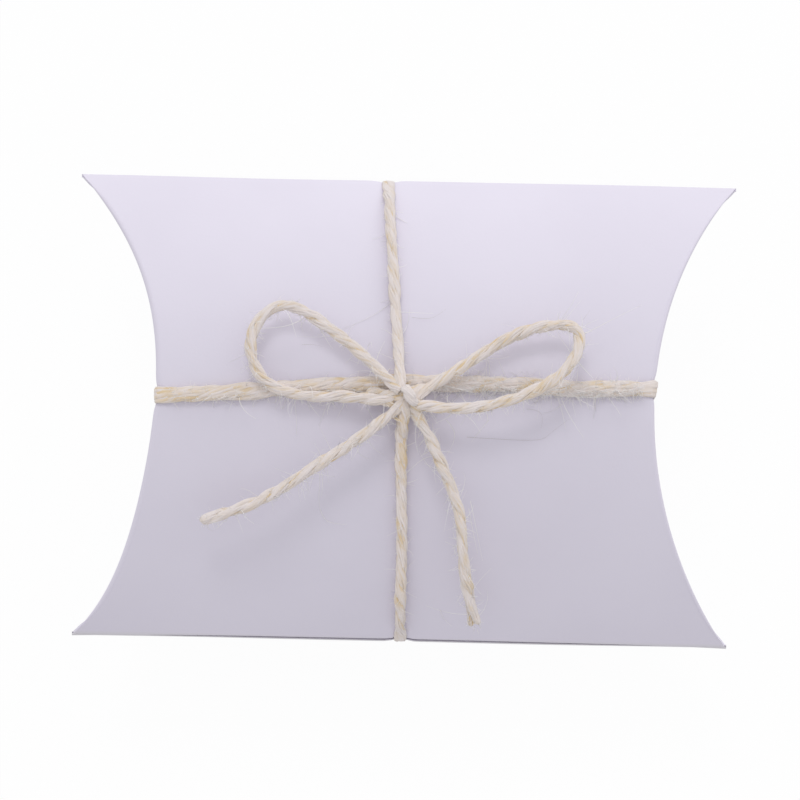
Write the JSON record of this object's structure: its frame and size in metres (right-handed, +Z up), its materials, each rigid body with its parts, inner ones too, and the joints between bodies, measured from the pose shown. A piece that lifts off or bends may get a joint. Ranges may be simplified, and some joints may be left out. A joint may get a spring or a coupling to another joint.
{
  "type": "pillow favor box",
  "caption": "Pillow-shaped card favor box with curved tuck-in end flaps, tied lengthwise and across with twine in a bow on its front.",
  "frame": {"origin": "on the surface that the box lies on, under the middle of the box, where the twine crosses on its back", "axes": "+X along the box, +Y across it away from the glued seam, +Z up out of its front panel"},
  "size_m": [0.09, 0.0668, 0.0337],
  "materials": {
    "card": "matte white folding card",
    "twine": "pale cream two-ply jute twine with straw streaks and stray fibres"
  },
  "bodies": {
    "box": {"front_panel": "card", "back_panel": "card", "glue_tab": "card"},
    "right_outer_flap": {"right_outer_flap": "card"},
    "left_outer_flap": {"left_outer_flap": "card"},
    "right_inner_flap": {"right_inner_flap": "card"},
    "left_inner_flap": {"left_inner_flap": "card"},
    "tie": {"long_wrap": "twine", "girth_wrap": "twine", "bow_knot": "twine", "left_loop": "twine", "right_loop": "twine", "left_tail": "twine", "right_tail": "twine"}
  },
  "joints": [
    {"name": "tie_lift", "type": "slide", "parent": "box", "child": "tie", "axis": [0, 0, 1], "range_m": [0, 0.06], "deforming": ["long_wrap", "girth_wrap"]},
    {"name": "right_flap_open", "type": "hinge", "parent": "box", "child": "right_outer_flap", "pos_m": [0.033, 0, 0.0279], "axis": [0, -1, 0], "range_deg": [0, 90]},
    {"name": "left_flap_open", "type": "hinge", "parent": "box", "child": "left_outer_flap", "pos_m": [-0.033, 0, 0.0279], "axis": [0, 1, 0], "range_deg": [0, 90]},
    {"name": "right_inner_press", "type": "hinge", "parent": "box", "child": "right_inner_flap", "pos_m": [0.03198, 0, 0.00445], "axis": [0, -1, 0], "range_deg": [0, 40]},
    {"name": "left_inner_press", "type": "hinge", "parent": "box", "child": "left_inner_flap", "pos_m": [-0.03198, 0, 0.00445], "axis": [0, 1, 0], "range_deg": [0, 40]}
  ],
  "couplings": [
    {"joint": "right_flap_open", "follows": "tie_lift", "rad_per_m": 26.17},
    {"joint": "left_flap_open", "follows": "tie_lift", "rad_per_m": 26.17}
  ]
}
